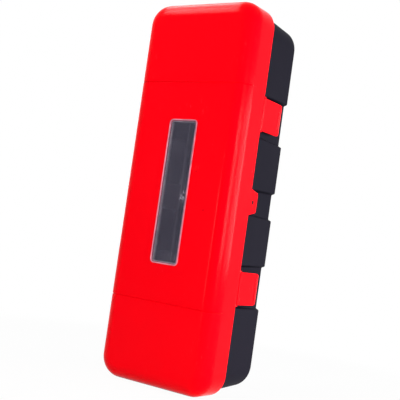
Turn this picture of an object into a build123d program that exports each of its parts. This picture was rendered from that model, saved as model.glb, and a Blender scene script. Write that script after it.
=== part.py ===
from build123d import *
from math import radians, tan
import os

# Fire extinguisher cabinet of moulded plastic: a black tray that is bolted to a wall,
# a red lid hinged on its left side, a clear window and two swinging latches.
# Millimetres. X points right seen from the front, Y from the front to the wall, Z up.
# The origin is on the flat back of the tray, at the middle of its height and width.

# Overall sizes
height = 700.0
width = 240.0
depth = 165.0
lid_depth = 67.0

# Lid
lid_wall = 3.0
lid_corner_radius = 40.0
lid_edge_radius = 27.0
groove_height = 199.0
groove_width = 2.4
groove_depth = 1.3
groove_run_down_side = 4.0
seal_ledge_thickness = 3.0

# Tray
tray_wall = 3.0
tray_inset = 4.0
tray_corner_radius = 44.0
tray_back_chamfer = 3.0
lid_overlap = 6.0
side_draft = 1.7
end_draft = 3.0
rim_flange_width = 14.0
rim_flange_thickness = 3.0

# Recesses between the blocks of the tray's sides
recess_depth = 10.0
latch_recess_height = 76.0
latch_recess_centre = 153.25
latch_recess_lift = 1.25
seal_recess_height = 46.0
recess_end_draft = 20.0
recess_flare = 2.3

# Seal between the lid's ledge and the tray's rim
seal_width = 4.0
seal_inset = 0.6
seal_thickness = 2.7
seat_clearance = 0.3

# Window
window_width = 60.4
window_height = 262.0
window_corner_radius = 8.0
window_lip = 3.0
window_lip_thickness = 2.0
window_rebate = 1.2
window_clearance = 0.2
window_wall = 2.0
window_well_depth = 7.0
window_bead_width = 1.8
window_bead_height = 0.6
window_notch_width = 6.0
window_frame_thickness = 2.5
window_frame_height = 5.0

# Latches
latch_height = 58.5
latch_centre = 156.5
latch_lift = 2.0
latch_free_edge_to_back = 26.0
latch_barrel_radius = 4.5
latch_plate_thickness = 3.0
latch_plate_offset = 0.5
latch_corner_radius = 12.0
latch_lip_depth = 5.0
latch_lip_thickness = 2.5
latch_bend_radius = 6.0
latch_pin_radius = 1.5
latch_rim_gap = 0.5
latch_ear_thickness = 2.0
latch_ear_half_width = 3.2
latch_end_gap = 0.4
catch_clearance = 1.0
catch_thickness = 4.0
catch_length = 30.0
catch_gap = 1.0

# Lug for a tell-tale seal, in the middle of the latch side
lug_reach = 24.0
lug_root_height = 47.0
lug_tip_height = 35.0
lug_corner_radius = 4.0
lug_slot_height = 7.0
lug_slot_width = 3.2
lug_slot_behind_rim = 9.5
loop_thickness = 4.0
loop_length = 12.0
loop_clearance = 1.0
loop_hole_width = 4.0
loop_hole_length = 6.0

# Lid hinge
hinge_out = 3.0
hinge_back = 6.0
hinge_barrel_radius = 5.5
hinge_pin_radius = 2.5
tray_knuckle_height = 26.0
lid_knuckle_height = 14.0
knuckle_gap = 0.4
hinge_arm_thickness = 7.0
hinge_arm_run = 22.0
running_clearance = 0.05

# Bolt holes and ribs in the back of the tray
bolt_spacing_x = 140.0
bolt_spacing_z = 460.0
bolt_hole_radius = 4.5
bolt_boss_radius = 14.0
bolt_boss_height = 4.0
back_rib_thickness = 3.0
back_rib_height = 3.5

# Foot ribs and the curved stop that the extinguisher stands against
foot_rib_count = 4
foot_rib_spacing = 36.0
foot_rib_thickness = 3.0
foot_stop_radius = 80.0
foot_stop_thickness = 3.0
foot_stop_height = 12.0
foot_stop_reach = 40.0

# Places worked out from the sizes above
half_width = width / 2
half_height = height / 2
lid_inside = half_width - lid_wall
lid_front_y = -depth
rim_y = lid_front_y + lid_depth
tray_front_y = rim_y - lid_overlap
tray_depth = -tray_front_y
tray_half_width = half_width - tray_inset
tray_half_height = half_height - tray_inset
side_run = tray_depth - tray_back_chamfer
tray_back_half_width = tray_half_width - side_run * tan(radians(side_draft))
tray_back_half_height = tray_half_height - side_run * tan(radians(end_draft))
recess_floor = tray_half_width - recess_depth
mouth_half_width = tray_half_width - rim_flange_width
mouth_half_height = tray_half_height - rim_flange_width
mouth_corner_radius = tray_corner_radius - rim_flange_width
recess_end_run = recess_depth * tan(radians(recess_end_draft))
latch_floor_half_height = latch_recess_height / 2 - recess_end_run
seal_floor_half_height = seal_recess_height / 2 - recess_end_run
recess_levels = (latch_recess_lift - latch_recess_centre, latch_recess_lift + latch_recess_centre)
latch_levels = (latch_lift - latch_centre, latch_lift + latch_centre)
ledge_back_y = tray_front_y - seat_clearance - seal_thickness
latch_axis_x = half_width - latch_barrel_radius
latch_axis_y = rim_y + latch_rim_gap + latch_barrel_radius
latch_end_y = -latch_free_edge_to_back
latch_plate_inside = latch_axis_x + latch_plate_offset
hinge_axis_x = -half_width - hinge_out
hinge_axis_y = rim_y + hinge_back


def seen_from_front(y):
    """Plane at depth y whose local axes are X and Z; it extrudes towards the front."""
    return Plane.XZ.offset(-y)


def seen_from_above(z):
    """Plane at height z whose local axes are X and Y; it extrudes upwards."""
    return Plane.XY.offset(z)


def recess_profiles(y, grow):
    """Outlines at depth y of the recesses of both sides, grown by a wall."""
    slope = tan(radians(recess_end_draft))
    flare = (y - tray_front_y) * tan(radians(recess_flare))
    far_x = half_width + recess_depth
    floor_x = recess_floor - grow
    profiles = []
    for centre, opening in (
        (recess_levels[0], latch_recess_height),
        (0, seal_recess_height),
        (recess_levels[1], latch_recess_height),
    ):
        half_opening = opening / 2 + flare + grow
        floor_half = half_opening - (tray_half_width - floor_x) * slope
        far_half = half_opening + (far_x - tray_half_width) * slope
        for side in (-1, 1):
            profiles.append(
                [
                    (side * far_x, centre - far_half),
                    (side * floor_x, centre - floor_half),
                    (side * floor_x, centre + floor_half),
                    (side * far_x, centre + far_half),
                ]
            )
    return profiles


# Outer form of the tray, with the recesses cut between its blocks
with BuildPart() as tray_form:
    with BuildSketch(seen_from_front(0)):
        RectangleRounded(
            2 * (tray_back_half_width - tray_back_chamfer),
            2 * (tray_back_half_height - tray_back_chamfer),
            tray_corner_radius - tray_back_chamfer,
        )
    with BuildSketch(seen_from_front(-tray_back_chamfer)):
        RectangleRounded(2 * tray_back_half_width, 2 * tray_back_half_height, tray_corner_radius)
    with BuildSketch(seen_from_front(tray_front_y)):
        RectangleRounded(2 * tray_half_width, 2 * tray_half_height, tray_corner_radius)
    loft(ruled=True)
    for at_back, at_front in zip(recess_profiles(1, 0), recess_profiles(tray_front_y - 1, 0)):
        with BuildSketch(seen_from_front(1)):
            Polygon(*at_back, align=None)
        with BuildSketch(seen_from_front(tray_front_y - 1)):
            Polygon(*at_front, align=None)
        loft(ruled=True, mode=Mode.SUBTRACT)

# Hollow of the tray, with the walls of the recesses left standing in it
with BuildPart() as tray_hollow:
    with BuildSketch(seen_from_front(-tray_wall)):
        RectangleRounded(
            2 * (tray_back_half_width - tray_wall),
            2 * (tray_back_half_height - tray_wall),
            tray_corner_radius - tray_wall,
        )
    with BuildSketch(seen_from_front(tray_front_y + rim_flange_thickness)):
        RectangleRounded(
            2 * (tray_half_width - tray_wall),
            2 * (tray_half_height - tray_wall),
            tray_corner_radius - tray_wall,
        )
    loft(ruled=True)
    for at_back, at_front in zip(recess_profiles(1, tray_wall), recess_profiles(tray_front_y - 1, tray_wall)):
        with BuildSketch(seen_from_front(1)):
            Polygon(*at_back, align=None)
        with BuildSketch(seen_from_front(tray_front_y - 1)):
            Polygon(*at_front, align=None)
        loft(ruled=True, mode=Mode.SUBTRACT)

# Ribs that carry the extinguisher's foot, the stop behind it and the ribs of the back
with BuildPart() as tray_ribs:
    with BuildSketch(seen_from_front(-tray_wall / 2)):
        with Locations((0, -mouth_half_height - rim_flange_width / 2)):
            with GridLocations(foot_rib_spacing, 1, foot_rib_count, 1):
                Rectangle(foot_rib_thickness, rim_flange_width)
    extrude(amount=tray_depth - rim_flange_thickness - tray_wall / 2)
    with BuildSketch(seen_from_above(-mouth_half_height - rim_flange_width / 2)):
        with Locations((0, -foot_stop_radius - tray_wall)):
            Circle(foot_stop_radius + foot_stop_thickness)
            Circle(foot_stop_radius, mode=Mode.SUBTRACT)
        with Locations((0, -foot_stop_reach - 2 * foot_stop_radius)):
            Rectangle(4 * foot_stop_radius, 4 * foot_stop_radius, mode=Mode.SUBTRACT)
    extrude(amount=rim_flange_width / 2 + foot_stop_height)
    with BuildSketch(seen_from_front(-tray_wall / 2)):
        with GridLocations(bolt_spacing_x, 1, 2, 1):
            Rectangle(back_rib_thickness, bolt_spacing_z)
        with GridLocations(1, bolt_spacing_z, 1, 2):
            Rectangle(bolt_spacing_x, back_rib_thickness)
    extrude(amount=tray_wall / 2 + back_rib_height)
    add(tray_form.part, mode=Mode.INTERSECT)

# Whole moulding of the tray
with BuildPart() as tray_moulding:
    add(tray_form.part)
    add(tray_hollow.part, mode=Mode.SUBTRACT)
    add(tray_ribs.part)
    # Mouth through the flange of the rim
    with BuildSketch(seen_from_front(tray_front_y + rim_flange_thickness + 1)):
        RectangleRounded(2 * mouth_half_width, 2 * mouth_half_height, mouth_corner_radius)
    extrude(amount=rim_flange_thickness + 2, mode=Mode.SUBTRACT)
    # Bosses around the bolt holes
    with BuildSketch(seen_from_front(-tray_wall)):
        with GridLocations(bolt_spacing_x, bolt_spacing_z, 2, 2):
            Circle(bolt_boss_radius)
    extrude(amount=bolt_boss_height)
    with BuildSketch(seen_from_front(0)):
        with GridLocations(bolt_spacing_x, bolt_spacing_z, 2, 2):
            Circle(bolt_hole_radius)
    extrude(amount=tray_wall + bolt_boss_height, mode=Mode.SUBTRACT)
    # Wedge-shaped catches under the turned-in edges of the latches
    catch_back = latch_end_y - latch_lip_thickness - catch_gap
    catch_top = latch_plate_inside - latch_lip_depth - catch_clearance
    for level in latch_levels:
        with BuildSketch(seen_from_above(level - catch_length / 2)):
            Polygon(
                (recess_floor - 1, catch_back - 3 * catch_thickness),
                (catch_top, catch_back - catch_thickness),
                (catch_top, catch_back),
                (recess_floor - 1, catch_back),
                align=None,
            )
        extrude(amount=catch_length)
    # Loop behind the slot of the lug
    loop_top = lid_inside - loop_clearance
    loop_y = rim_y + lug_slot_behind_rim
    with BuildSketch(seen_from_above(-loop_thickness / 2)):
        with Locations(((loop_top + recess_floor - 1) / 2, loop_y)):
            Rectangle(loop_top - recess_floor + 1, loop_length)
        with Locations(((loop_top + recess_floor) / 2, loop_y)):
            Rectangle(loop_hole_width, loop_hole_length, mode=Mode.SUBTRACT)
    extrude(amount=loop_thickness)
    # Hinge knuckles in the recesses of the left side
    arm_length = -hinge_axis_x - recess_floor + 1
    for level in recess_levels:
        with BuildSketch(seen_from_above(level - tray_knuckle_height / 2)):
            with Locations((hinge_axis_x, hinge_axis_y)):
                Circle(hinge_barrel_radius)
            with Locations((hinge_axis_x + arm_length / 2, hinge_axis_y + hinge_barrel_radius)):
                Rectangle(arm_length, hinge_arm_thickness, align=(Align.CENTER, Align.MAX))
            with Locations((hinge_axis_x, hinge_axis_y)):
                Circle(hinge_pin_radius + running_clearance, mode=Mode.SUBTRACT)
        extrude(amount=tray_knuckle_height)


def build_tray_piece(label, x_ranges, z_ranges):
    """The part of the tray's moulding inside ranges of X and Z."""
    with BuildPart() as piece:
        add(tray_moulding.part)
        with BuildSketch(seen_from_front(1)):
            for low_x, high_x in x_ranges:
                for low_z, high_z in z_ranges:
                    with Locations((low_x, low_z)):
                        Rectangle(high_x - low_x, high_z - low_z, align=Align.MIN)
        extrude(amount=tray_depth + 2, mode=Mode.INTERSECT)
    piece.part.label = label
    return piece.part


# The tray, divided along the mouth's edges and at the ends of the recess floors
far = height
corner_x = mouth_half_width - mouth_corner_radius
corner_z = mouth_half_height - mouth_corner_radius
across_mouth = [(-mouth_half_width, mouth_half_width)]
between_corners = [(-corner_x, corner_x)]
beyond_corners_x = [(-far, -corner_x), (corner_x, far)]
beyond_corners_z = [(-far, -corner_z), (corner_z, far)]
side_levels = [
    -corner_z,
    recess_levels[0] - latch_floor_half_height,
    recess_levels[0] + latch_floor_half_height,
    -seal_floor_half_height,
    seal_floor_half_height,
    recess_levels[1] - latch_floor_half_height,
    recess_levels[1] + latch_floor_half_height,
    corner_z,
]
side_names = [
    "side_{}_lower",
    "recess_{}_lower",
    "block_{}_lower",
    "recess_{}_middle",
    "block_{}_upper",
    "recess_{}_upper",
    "side_{}_upper",
]
tray_pieces = [
    build_tray_piece("tray_back", across_mouth, [(-corner_z, corner_z)]),
    build_tray_piece("tray_top", between_corners, [(corner_z, far)]),
    build_tray_piece("tray_bottom", between_corners, [(-far, -corner_z)]),
    build_tray_piece("tray_corners", beyond_corners_x, beyond_corners_z),
]
for side, beside_mouth in (
    ("left", (-far, -mouth_half_width)),
    ("right", (mouth_half_width, far)),
):
    for name, low_z, high_z in zip(side_names, side_levels, side_levels[1:]):
        tray_pieces.append(build_tray_piece(name.format(side), [beside_mouth], [(low_z, high_z)]))

# Space inside the lid
with BuildPart() as lid_hollow:
    with BuildSketch(seen_from_front(rim_y)):
        RectangleRounded(2 * lid_inside, height - 2 * lid_wall, lid_corner_radius - lid_wall)
    extrude(amount=lid_depth - lid_wall)
    fillet(lid_hollow.faces().sort_by(Axis.Y)[0].edges(), radius=lid_edge_radius - lid_wall)

# Lid
with BuildPart() as lid:
    with BuildSketch(seen_from_front(rim_y)):
        RectangleRounded(width, height, lid_corner_radius)
    extrude(amount=lid_depth)
    fillet(lid.faces().sort_by(Axis.Y)[0].edges(), radius=lid_edge_radius)
    add(lid_hollow.part, mode=Mode.SUBTRACT)
    # Grooves across the front, round both edges and a little way down the sides
    edge_x = half_width - lid_edge_radius
    edge_y = lid_front_y + lid_edge_radius
    for level in (-groove_height, groove_height):
        with BuildLine(seen_from_above(level)) as groove_path:
            left_side = Line((-half_width, edge_y + groove_run_down_side), (-half_width, edge_y))
            left_edge = TangentArc(left_side @ 1, (-edge_x, lid_front_y), tangent=left_side % 1)
            front = Line(left_edge @ 1, (edge_x, lid_front_y))
            right_edge = TangentArc(front @ 1, (half_width, edge_y), tangent=front % 1)
            Line(right_edge @ 1, (half_width, edge_y + groove_run_down_side))
        start = Plane(groove_path.line @ 0, x_dir=(0, 0, 1), z_dir=groove_path.line % 0)
        with BuildSketch(start):
            Polygon(
                (-groove_width / 2, 0),
                (0, groove_depth),
                (groove_width / 2, 0),
                (0, -groove_depth),
                align=None,
            )
        sweep(path=groove_path.line, mode=Mode.SUBTRACT)
    # Frame on the inside round the window opening
    opening_width = window_width - 2 * window_lip
    opening_height = window_height - 2 * window_lip
    opening_corner = window_corner_radius - window_lip
    with BuildSketch(seen_from_front(lid_front_y + lid_wall + window_frame_height)):
        RectangleRounded(
            opening_width + 2 * window_frame_thickness,
            opening_height + 2 * window_frame_thickness,
            opening_corner + window_frame_thickness,
        )
    extrude(amount=window_frame_height + lid_wall / 2)
    # Window opening with a rebate around it for the pane
    with BuildSketch(seen_from_front(lid_front_y + lid_wall + window_frame_height + 1)):
        RectangleRounded(opening_width, opening_height, opening_corner)
    extrude(amount=lid_wall + window_frame_height + 2, mode=Mode.SUBTRACT)
    with BuildSketch(seen_from_front(lid_front_y + window_rebate)):
        RectangleRounded(window_width, window_height, window_corner_radius)
    extrude(amount=window_rebate + 1, mode=Mode.SUBTRACT)
    # Ledge that carries the seal
    with BuildSketch(seen_from_front(ledge_back_y)):
        RectangleRounded(width - lid_wall, height - lid_wall, lid_corner_radius - lid_wall / 2)
        RectangleRounded(
            2 * mouth_half_width,
            2 * mouth_half_height,
            mouth_corner_radius,
            mode=Mode.SUBTRACT,
        )
    extrude(amount=seal_ledge_thickness)
    # Lug with the slot for a tell-tale seal
    with BuildSketch(Plane.YZ.offset(lid_inside)):
        with BuildLine():
            Polyline(
                (tray_front_y, -lug_root_height / 2),
                (rim_y, -lug_root_height / 2),
                (rim_y + lug_reach, -lug_tip_height / 2),
                (rim_y + lug_reach, lug_tip_height / 2),
                (rim_y, lug_root_height / 2),
                (tray_front_y, lug_root_height / 2),
                close=True,
            )
        lug_face = make_face()
        fillet(lug_face.vertices().group_by(Axis.X)[-1], radius=lug_corner_radius)
        with Locations((rim_y + lug_slot_behind_rim, 0)):
            SlotOverall(lug_slot_height, lug_slot_width, rotation=90, mode=Mode.SUBTRACT)
    extrude(amount=lid_wall)
    # Ears that hold the latch pins
    ear_back_y = latch_axis_y + latch_ear_half_width
    ear_offset = (latch_height + latch_ear_thickness) / 2 + latch_end_gap
    for level in latch_levels:
        for end in (-1, 1):
            with BuildSketch(seen_from_above(level + end * ear_offset - latch_ear_thickness / 2)):
                with Locations((latch_axis_x, (ear_back_y + tray_front_y) / 2)):
                    Rectangle(2 * latch_ear_half_width, ear_back_y - tray_front_y)
                with Locations((latch_axis_x, latch_axis_y)):
                    Circle(latch_pin_radius, mode=Mode.SUBTRACT)
            extrude(amount=latch_ear_thickness)
    # Hinge arms on the left side
    arm_offset = (tray_knuckle_height + lid_knuckle_height) / 2 + knuckle_gap
    wall_middle_x = -half_width + lid_wall / 2
    for level in recess_levels:
        for end in (-1, 1):
            with BuildSketch(seen_from_above(level + end * arm_offset - lid_knuckle_height / 2)):
                Polygon(
                    (wall_middle_x, rim_y - hinge_arm_run),
                    (hinge_axis_x - hinge_barrel_radius, hinge_axis_y),
                    (hinge_axis_x, hinge_axis_y),
                    (wall_middle_x, rim_y),
                    align=None,
                )
                with Locations((hinge_axis_x, hinge_axis_y)):
                    Circle(hinge_barrel_radius)
                    Circle(hinge_pin_radius, mode=Mode.SUBTRACT)
            extrude(amount=lid_knuckle_height)
lid.part.label = "lid"

# Seal strip on the lid's ledge
with BuildPart() as lid_seal:
    seal_outset = seal_inset + seal_width
    with BuildSketch(seen_from_front(tray_front_y - seat_clearance)):
        RectangleRounded(
            2 * (mouth_half_width + seal_outset),
            2 * (mouth_half_height + seal_outset),
            mouth_corner_radius + seal_outset,
        )
        RectangleRounded(
            2 * (mouth_half_width + seal_inset),
            2 * (mouth_half_height + seal_inset),
            mouth_corner_radius + seal_inset,
            mode=Mode.SUBTRACT,
        )
    extrude(amount=seal_thickness)
lid_seal.part.label = "lid_seal"

# Clear window: a pane with a bead round its edge and a wall that lines the opening
with BuildPart() as window:
    pane_width = window_width - 2 * window_clearance
    pane_height = window_height - 2 * window_clearance
    pane_corner = window_corner_radius - window_clearance
    well_inset = window_lip + window_clearance
    well_inner = well_inset + window_wall
    with BuildSketch(seen_from_front(lid_front_y + window_rebate)):
        RectangleRounded(pane_width, pane_height, pane_corner)
    extrude(amount=window_lip_thickness)
    with BuildSketch(seen_from_front(lid_front_y + window_rebate - window_lip_thickness)):
        RectangleRounded(pane_width, pane_height, pane_corner)
        RectangleRounded(
            pane_width - 2 * window_bead_width,
            pane_height - 2 * window_bead_width,
            pane_corner - window_bead_width,
            mode=Mode.SUBTRACT,
        )
        with GridLocations(1, pane_height, 1, 2):
            Rectangle(window_notch_width, 2 * window_bead_width, mode=Mode.SUBTRACT)
    extrude(amount=window_bead_height)
    with BuildSketch(seen_from_front(lid_front_y + window_rebate + window_well_depth)):
        RectangleRounded(
            window_width - 2 * well_inset,
            window_height - 2 * well_inset,
            window_corner_radius - well_inset,
        )
        RectangleRounded(
            window_width - 2 * well_inner,
            window_height - 2 * well_inner,
            window_corner_radius - well_inner,
            mode=Mode.SUBTRACT,
        )
    extrude(amount=window_well_depth)
window.part.label = "window"


def build_latch(level, label):
    """Latch tab: a barrel round its pin bore and a plate that bends in at its free end."""
    with BuildPart() as latch:
        plate_outside = latch_plate_inside + latch_plate_thickness
        lip_inside = latch_plate_inside - latch_lip_depth
        with BuildSketch(seen_from_above(level - latch_height / 2)):
            Polygon(
                (latch_plate_inside, latch_axis_y),
                (plate_outside, latch_axis_y),
                (plate_outside, latch_end_y),
                (lip_inside, latch_end_y),
                (lip_inside, latch_end_y - latch_lip_thickness),
                (latch_plate_inside, latch_end_y - latch_lip_thickness),
                align=None,
            )
            bend = vertices().group_by(Axis.Y)[-1].sort_by(Axis.X)[-1]
            fillet(bend, radius=latch_bend_radius)
            with Locations((latch_axis_x, latch_axis_y)):
                Circle(latch_barrel_radius)
                Circle(latch_pin_radius + running_clearance, mode=Mode.SUBTRACT)
        extrude(amount=latch_height)
        with BuildSketch(Plane.YZ):
            with Locations((latch_axis_y - latch_barrel_radius, level)):
                Rectangle(
                    latch_end_y - latch_axis_y + latch_barrel_radius,
                    latch_height,
                    align=(Align.MIN, Align.CENTER),
                )
            fillet(vertices().group_by(Axis.Y)[-1], radius=latch_corner_radius)
        extrude(amount=half_width, mode=Mode.INTERSECT)
    latch.part.label = label
    return latch.part


def build_pin(x, y, level, length, radius, label):
    """Straight upright pin centred at a height."""
    with BuildPart() as pin:
        with BuildSketch(seen_from_above(level - length / 2)):
            with Locations((x, y)):
                Circle(radius)
        extrude(amount=length)
    pin.part.label = label
    return pin.part


pieces = tray_pieces + [lid.part, lid_seal.part, window.part]
latch_pin_length = latch_height + 2 * latch_end_gap + 2 * latch_ear_thickness
hinge_pin_length = tray_knuckle_height + 2 * knuckle_gap + 2 * lid_knuckle_height
for name, latch_level, hinge_level in zip(("lower", "upper"), latch_levels, recess_levels):
    pieces.append(build_latch(latch_level, "latch_" + name))
    pieces.append(
        build_pin(
            latch_axis_x,
            latch_axis_y,
            latch_level,
            latch_pin_length,
            latch_pin_radius,
            "latch_pin_" + name,
        )
    )
    pieces.append(
        build_pin(
            hinge_axis_x,
            hinge_axis_y,
            hinge_level,
            hinge_pin_length,
            hinge_pin_radius,
            "hinge_pin_" + name,
        )
    )

os.makedirs("parts", exist_ok=True)
for piece in pieces:
    export_step(piece, "parts/" + piece.label + ".step")
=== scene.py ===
"""Looks of a fire extinguisher cabinet: a red lid with a clear window, two latches and a black tray.

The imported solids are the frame. Each class below builds one sub-assembly in millimetres in
that frame, dresses it in its finish and hangs it on the body that carries it.
X points right seen from the front, Y from the front to the wall and Z up.
"""

import logging
from dataclasses import dataclass, field, replace
from enum import Enum
from functools import partial
from math import atan2, cos, pi, radians, sin, sqrt, tan
from typing import Callable, Iterable, Sequence, Union

import bmesh
import bpy
from mathutils import Matrix, Vector
from mathutils.geometry import tessellate_polygon


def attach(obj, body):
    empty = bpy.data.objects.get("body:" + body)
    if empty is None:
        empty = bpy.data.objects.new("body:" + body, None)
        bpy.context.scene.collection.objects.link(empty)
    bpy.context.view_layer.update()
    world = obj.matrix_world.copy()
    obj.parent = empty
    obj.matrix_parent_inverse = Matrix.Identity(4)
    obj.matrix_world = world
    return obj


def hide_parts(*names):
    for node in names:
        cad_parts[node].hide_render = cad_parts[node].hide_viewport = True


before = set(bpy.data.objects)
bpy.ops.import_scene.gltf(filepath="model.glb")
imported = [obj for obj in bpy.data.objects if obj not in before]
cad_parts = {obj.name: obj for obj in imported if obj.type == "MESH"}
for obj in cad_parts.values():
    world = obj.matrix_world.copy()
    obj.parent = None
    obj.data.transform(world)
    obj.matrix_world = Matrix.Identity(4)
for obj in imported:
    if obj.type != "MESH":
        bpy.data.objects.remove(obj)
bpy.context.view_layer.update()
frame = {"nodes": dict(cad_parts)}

log = logging.getLogger("cabinet")

MM = 0.001
SHARP_ANGLE = radians(35)
JOIN_WITHIN = 2e-6
DROP_UNDER = 1e-6
WHITE = (1, 1, 1, 1)

Flat = tuple[float, float]
Point = tuple[float, float, float]
Colour = tuple[float, float, float]
Placing = Callable[[Iterable[Flat], float], list[Point]]


class Side(Enum):
    """Side of the cabinet, seen from the front."""

    LEFT = -1
    RIGHT = 1


class Level(Enum):
    """Which of two like pieces is meant, one above the other."""

    LOWER = -1
    UPPER = 1


# Outlines


@dataclass(frozen=True)
class Corner:
    """Corner of a flat outline, with the radius that rounds it and the steps of its arc."""

    across: float
    up: float
    radius: float = 0.0
    steps: int = 6


def mirrored(corners: Sequence[Corner]) -> list[Corner]:
    """The same corners on the other side, in the opposite order."""
    return [replace(corner, across=-corner.across) for corner in reversed(corners)]


def rounded(corners: Sequence[Corner], closed: bool = True) -> list[Flat]:
    """Points of an outline with rounded corners.

    Args:
        corners: The corners in order round the outline.
        closed: Whether the last corner is joined to the first.

    Returns:
        The points; each rounded corner gives its steps plus one.
    """
    points: list[Flat] = []
    count = len(corners)
    for index, corner in enumerate(corners):
        is_end = not closed and index in (0, count - 1)
        if corner.radius <= 0 or is_end:
            points.append((corner.across, corner.up))
            continue
        here = Vector((corner.across, corner.up))
        before, after = corners[index - 1], corners[(index + 1) % count]
        to_before = (Vector((before.across, before.up)) - here).normalized()
        to_after = (Vector((after.across, after.up)) - here).normalized()
        half_angle = to_before.angle(to_after) / 2
        reach = corner.radius / tan(half_angle)
        centre = here + (to_before + to_after).normalized() * corner.radius / sin(half_angle)
        first = here + to_before * reach - centre
        last = here + to_after * reach - centre
        sweep = atan2(first.x * last.y - first.y * last.x, first.dot(last))
        for step in range(corner.steps + 1):
            turn = sweep * step / corner.steps
            across = centre.x + first.x * cos(turn) - first.y * sin(turn)
            up = centre.y + first.x * sin(turn) + first.y * cos(turn)
            points.append((across, up))
    return points


def beside(path: Sequence[Flat], distance: float) -> list[Flat]:
    """Open path moved sideways, to the right of its own direction.

    Args:
        path: The points of the path.
        distance: How far each stretch moves.

    Returns:
        As many points as the path has.
    """
    moved: list[Flat] = []
    for index, (across, up) in enumerate(path):
        before = path[max(index - 1, 0)]
        after = path[min(index + 1, len(path) - 1)]
        run = Vector((after[0] - before[0], after[1] - before[1])).normalized()
        moved.append((across + run.y * distance, up - run.x * distance))
    return moved


def turns(first: float, last: float, steps: int) -> list[float]:
    """Angles in radians from one number of degrees to another."""
    return [radians(first + (last - first) * step / steps) for step in range(steps + 1)]


def arc(centre: Flat, radius: float, first: float, last: float, steps: int) -> list[Flat]:
    """Points of an arc round a centre, from one number of degrees to another."""
    across, up = centre
    return [(across + radius * cos(turn), up + radius * sin(turn)) for turn in turns(first, last, steps)]


def circle(centre: Flat, radius: float, count: int) -> list[Flat]:
    """Points of a circle round a centre."""
    return arc(centre, radius, 0, 360, count)[:-1]


def from_front(outline: Iterable[Flat], y: float) -> list[Point]:
    """Points of an outline of X and Z at one depth."""
    return [(x, y, z) for x, z in outline]


def from_above(outline: Iterable[Flat], z: float) -> list[Point]:
    """Points of an outline of X and Y at one height."""
    return [(x, y, z) for x, y in outline]


def from_side(outline: Iterable[Flat], x: float) -> list[Point]:
    """Points of an outline of Z and Y at one X."""
    return [(x, y, z) for z, y in outline]


@dataclass(frozen=True)
class RoundFrame:
    """Rounded rectangle seen from the front, whose rows have like points at every inset.

    The extra levels are heights at which both long sides get a point, and the extra
    places do the same for the top and bottom.
    """

    half_width: float
    half_height: float
    radius: float
    steps: int = 10
    levels: tuple[float, ...] = ()
    places: tuple[float, ...] = ()

    def stations(self) -> list[tuple[Flat, Flat]]:
        """Foot and outward direction of each point, from the right side upwards and round."""
        across = self.half_width - self.radius
        up = self.half_height - self.radius
        above = sorted(level for level in self.levels if level > 0)
        below = sorted(level for level in self.levels if level <= 0)
        places = sorted(self.places)
        found: list[tuple[Flat, Flat]] = [((across, z), (1, 0)) for z in above]
        found += self._corner(across, up, 0)
        found += [((x, up), (0, 1)) for x in reversed(places)]
        found += self._corner(-across, up, 1)
        found += [((-across, z), (-1, 0)) for z in reversed(below + above)]
        found += self._corner(-across, -up, 2)
        found += [((x, -up), (0, -1)) for x in places]
        found += self._corner(across, -up, 3)
        found += [((across, z), (1, 0)) for z in below]
        return found

    def _corner(self, across: float, up: float, quarter: int) -> list[tuple[Flat, Flat]]:
        """Stations of one corner's arc, which starts at a number of quarter turns."""
        angles = [pi / 2 * (quarter + step / self.steps) for step in range(self.steps + 1)]
        return [((across, up), (cos(angle), sin(angle))) for angle in angles]

    def outline(self, inset: float = 0.0) -> list[Flat]:
        """Points of the outline, moved inwards by an inset."""
        reach = self.radius - inset
        return [(foot[0] + out[0] * reach, foot[1] + out[1] * reach) for foot, out in self.stations()]

    def row(self, inset: float, y: float) -> list[Point]:
        """The outline at an inset and a depth."""
        return from_front(self.outline(inset), y)

    def place_of(self, side: Side, level: float) -> int:
        """Place in a row of the point at one of the extra levels."""
        for index, (foot, out) in enumerate(self.stations()):
            if out == (side.value, 0) and foot[1] == level:
                return index
        raise ValueError(f"no station at level {level}")


# Meshes


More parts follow.
